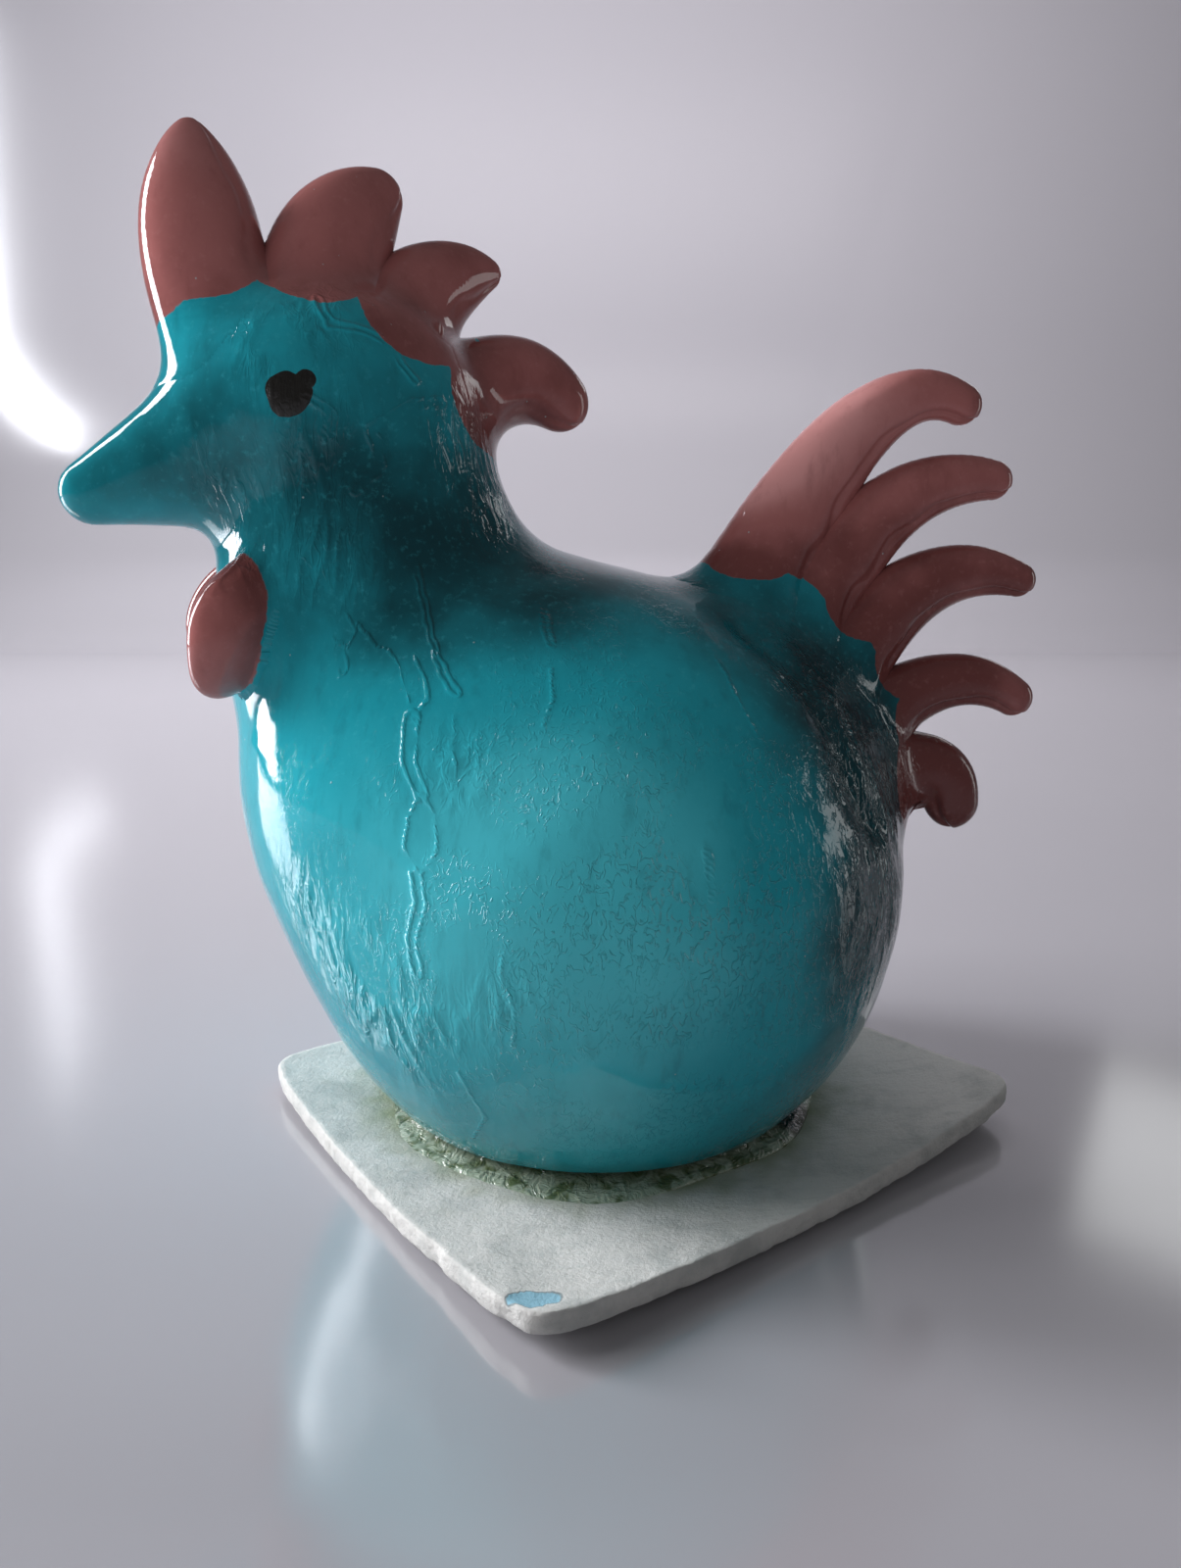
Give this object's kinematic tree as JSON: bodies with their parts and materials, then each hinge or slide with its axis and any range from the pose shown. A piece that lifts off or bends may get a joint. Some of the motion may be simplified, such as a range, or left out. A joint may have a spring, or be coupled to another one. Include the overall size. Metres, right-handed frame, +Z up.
{
  "type": "hen figurine",
  "caption": "Hand-made clay hen with a round glossy teal body, a turned head and pink comb, wattles and curled tail feathers, glued to a small rough white slab with curled corners.",
  "frame": {"origin": "on the flat underside of the slab, where it lies on the table, right under the middle of the round body", "axes": "+Z up, -X from the body towards the beak side, +X towards the tail, +Y to the hen's right"},
  "size_m": [0.1095, 0.0927, 0.1119],
  "materials": {
    "teal_paint": "gloss lacquer over brushed paint on clay",
    "pink_paint": "gloss lacquer over brushed paint on clay",
    "eye_paint": "gloss dab of paint",
    "bare_clay": "rough, thinly whitewashed",
    "glue": "dried glossy glue",
    "core": "matt"
  },
  "bodies": {
    "root": {"base_slab": "bare_clay", "glue_bead": "glue", "body_core": "core", "lower_bowl": "teal_paint", "upper_bowl": "teal_paint", "tail_ridge": "teal_paint", "neck_head": "teal_paint", "beak": "teal_paint", "comb_lobe_1": "pink_paint", "comb_lobe_2": "pink_paint", "comb_lobe_3": "pink_paint", "comb_lobe_4": "pink_paint", "wattle_left": "pink_paint", "wattle_right": "pink_paint", "eye_left": "eye_paint", "eye_right": "eye_paint", "tail_feather_1": "pink_paint", "tail_feather_2": "pink_paint", "tail_feather_3": "pink_paint", "tail_feather_4": "pink_paint", "tail_feather_5": "pink_paint"}
  },
  "joints": []
}
